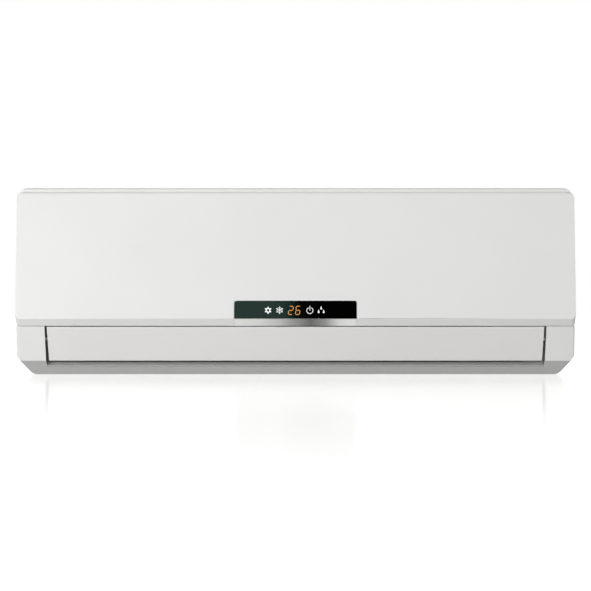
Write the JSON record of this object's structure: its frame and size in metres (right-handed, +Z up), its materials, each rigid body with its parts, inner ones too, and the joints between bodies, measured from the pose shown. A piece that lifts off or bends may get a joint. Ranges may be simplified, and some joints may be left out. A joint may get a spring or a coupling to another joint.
{
  "type": "split air conditioner indoor unit",
  "caption": "Wall-hung indoor unit with a sloping front panel, display window, swing louver, upright vanes, cross-flow fan, evaporator coil and filters.",
  "frame": {"origin": "on the wall, at the middle of the back face of the wall plate", "axes": "+X to the right of someone facing the unit, the room towards -Y, +Z up"},
  "size_m": [0.79, 0.1772, 0.265],
  "materials": {
    "panel_plastic": "glossy white moulded plastic",
    "case_plastic": "satin white moulded plastic",
    "louver_plastic": "satin white moulded plastic",
    "window_black": "polished black see-through plastic",
    "brushed_trim": "brushed along its length",
    "inner_plastic": "off-white moulded plastic",
    "black_plastic": "black moulded plastic",
    "filter_plastic": "pale blue moulded plastic",
    "filter_net": "fine woven net",
    "fins": "thin plain sheet fins",
    "zinc_sheet": "zinc-plated sheet",
    "copper": "drawn copper tube",
    "brass_nut": "turned brass",
    "black_rubber": "matte black rubber",
    "bearing_bronze": "sintered bronze",
    "motor_resin": "moulded resin housing",
    "shaft_steel": "ground steel",
    "circuit_board": "green board"
  },
  "bodies": {
    "casing": {"front_case": "case_plastic", "rear_chassis": "inner_plastic", "wall_plate": "zinc_sheet", "drip_tray": "inner_plastic", "coil_front_lower": "fins", "coil_front_upper": "fins", "coil_rear": "fins", "coil_end_plate_left": "zinc_sheet", "coil_end_plate_right": "zinc_sheet", "return_bends": "copper", "fan_bearing": "bearing_bronze", "bearing_rubber": "black_rubber", "fan_motor": "motor_resin", "motor_clamp": "inner_plastic", "louver_supports": "inner_plastic", "louver_bush": "black_plastic", "louver_motor": "zinc_sheet", "case_screws": "shaft_steel", "button_board": "circuit_board", "display_housing": "black_plastic", "display_board": "circuit_board", "electric_box": "inner_plastic", "electric_cover": "zinc_sheet", "main_board": "circuit_board", "terminal_block": "black_plastic", "gas_pipe": "copper", "liquid_pipe": "copper", "flare_nuts": "brass_nut", "pipe_clamp": "black_plastic", "tube_sensor": "copper", "drain_plug": "black_rubber"},
    "panel": {"front_panel": "panel_plastic", "display_window": "window_black", "trim_strip": "brushed_trim"},
    "louver": {"louver": "louver_plastic", "louver_motor_shaft": "inner_plastic"},
    "fan": {"fan_rotor": "black_plastic", "fan_journal": "shaft_steel", "motor_shaft": "shaft_steel"},
    "filter_left": {"filter_frame_left": "filter_plastic", "filter_mesh_left": "filter_net"},
    "filter_right": {"filter_frame_right": "filter_plastic", "filter_mesh_right": "filter_net"},
    "auto_button": {"auto_button": "case_plastic"},
    "vane_link_left": {"vane_link_left": "black_plastic"},
    "vane_link_right": {"vane_link_right": "black_plastic"},
    "vane_left_1": {"vane_left_1": "black_plastic"},
    "vane_left_2": {"vane_left_2": "black_plastic"},
    "vane_left_3": {"vane_left_3": "black_plastic"},
    "vane_left_4": {"vane_left_4": "black_plastic"},
    "vane_left_5": {"vane_left_5": "black_plastic"},
    "vane_left_6": {"vane_left_6": "black_plastic"},
    "vane_right_1": {"vane_right_1": "black_plastic"},
    "vane_right_2": {"vane_right_2": "black_plastic"},
    "vane_right_3": {"vane_right_3": "black_plastic"},
    "vane_right_4": {"vane_right_4": "black_plastic"},
    "vane_right_5": {"vane_right_5": "black_plastic"},
    "vane_right_6": {"vane_right_6": "black_plastic"}
  },
  "joints": [
    {"name": "panel_hinge", "type": "hinge", "parent": "casing", "child": "panel", "pos_m": [0, -0.152, 0.121], "axis": [-1, 0, 0], "range_deg": [0, 65]},
    {"name": "louver_hinge", "type": "hinge", "parent": "casing", "child": "louver", "pos_m": [0, -0.16, -0.0825], "axis": [-1, 0, 0], "range_deg": [0, 85]},
    {"name": "fan_spin", "type": "hinge", "parent": "casing", "child": "fan", "pos_m": [0, -0.08, -0.0325], "axis": [1, 0, 0], "continuous": true},
    {"name": "filter_left_lift", "type": "slide", "parent": "casing", "child": "filter_left", "axis": [0, 0.108, 0.9941], "range_m": [0, 0.005]},
    {"name": "filter_right_lift", "type": "slide", "parent": "casing", "child": "filter_right", "axis": [0, 0.108, 0.9941], "range_m": [0, 0.005]},
    {"name": "auto_button_press", "type": "slide", "parent": "casing", "child": "auto_button", "axis": [0, 1, 0], "range_m": [0, 0.001], "stiffness_N_per_m": 400},
    {"name": "vane_left_1_turn", "type": "hinge", "parent": "casing", "child": "vane_left_1", "pos_m": [-0.304, -0.123, -0.0975], "axis": [0, 0, 1], "range_deg": [-35, 35]},
    {"name": "vane_left_2_turn", "type": "hinge", "parent": "casing", "child": "vane_left_2", "pos_m": [-0.254, -0.123, -0.0975], "axis": [0, 0, 1], "range_deg": [-35, 35]},
    {"name": "vane_left_3_turn", "type": "hinge", "parent": "casing", "child": "vane_left_3", "pos_m": [-0.204, -0.123, -0.0975], "axis": [0, 0, 1], "range_deg": [-35, 35]},
    {"name": "vane_left_4_turn", "type": "hinge", "parent": "casing", "child": "vane_left_4", "pos_m": [-0.154, -0.123, -0.0975], "axis": [0, 0, 1], "range_deg": [-35, 35]},
    {"name": "vane_left_5_turn", "type": "hinge", "parent": "casing", "child": "vane_left_5", "pos_m": [-0.104, -0.123, -0.0975], "axis": [0, 0, 1], "range_deg": [-35, 35]},
    {"name": "vane_left_6_turn", "type": "hinge", "parent": "casing", "child": "vane_left_6", "pos_m": [-0.054, -0.123, -0.0975], "axis": [0, 0, 1], "range_deg": [-35, 35]},
    {"name": "vane_link_left_turn", "type": "hinge", "parent": "vane_left_1", "child": "vane_link_left", "pos_m": [-0.304, -0.134, -0.0945], "axis": [0, 0, 1], "range_deg": [-35, 35]},
    {"name": "vane_right_1_turn", "type": "hinge", "parent": "casing", "child": "vane_right_1", "pos_m": [-0.004, -0.123, -0.0975], "axis": [0, 0, 1], "range_deg": [-35, 35]},
    {"name": "vane_right_2_turn", "type": "hinge", "parent": "casing", "child": "vane_right_2", "pos_m": [0.046, -0.123, -0.0975], "axis": [0, 0, 1], "range_deg": [-35, 35]},
    {"name": "vane_right_3_turn", "type": "hinge", "parent": "casing", "child": "vane_right_3", "pos_m": [0.096, -0.123, -0.0975], "axis": [0, 0, 1], "range_deg": [-35, 35]},
    {"name": "vane_right_4_turn", "type": "hinge", "parent": "casing", "child": "vane_right_4", "pos_m": [0.146, -0.123, -0.0975], "axis": [0, 0, 1], "range_deg": [-35, 35]},
    {"name": "vane_right_5_turn", "type": "hinge", "parent": "casing", "child": "vane_right_5", "pos_m": [0.196, -0.123, -0.0975], "axis": [0, 0, 1], "range_deg": [-35, 35]},
    {"name": "vane_right_6_turn", "type": "hinge", "parent": "casing", "child": "vane_right_6", "pos_m": [0.246, -0.123, -0.0975], "axis": [0, 0, 1], "range_deg": [-35, 35]},
    {"name": "vane_link_right_turn", "type": "hinge", "parent": "vane_right_1", "child": "vane_link_right", "pos_m": [-0.004, -0.134, -0.0945], "axis": [0, 0, 1], "range_deg": [-35, 35]}
  ],
  "couplings": [
    {"joint": "vane_left_2_turn", "follows": "vane_left_1_turn", "ratio": 1},
    {"joint": "vane_left_3_turn", "follows": "vane_left_1_turn", "ratio": 1},
    {"joint": "vane_left_4_turn", "follows": "vane_left_1_turn", "ratio": 1},
    {"joint": "vane_left_5_turn", "follows": "vane_left_1_turn", "ratio": 1},
    {"joint": "vane_left_6_turn", "follows": "vane_left_1_turn", "ratio": 1},
    {"joint": "vane_link_left_turn", "follows": "vane_left_1_turn", "ratio": -1},
    {"joint": "vane_right_2_turn", "follows": "vane_right_1_turn", "ratio": 1},
    {"joint": "vane_right_3_turn", "follows": "vane_right_1_turn", "ratio": 1},
    {"joint": "vane_right_4_turn", "follows": "vane_right_1_turn", "ratio": 1},
    {"joint": "vane_right_5_turn", "follows": "vane_right_1_turn", "ratio": 1},
    {"joint": "vane_right_6_turn", "follows": "vane_right_1_turn", "ratio": 1},
    {"joint": "vane_link_right_turn", "follows": "vane_right_1_turn", "ratio": -1}
  ]
}
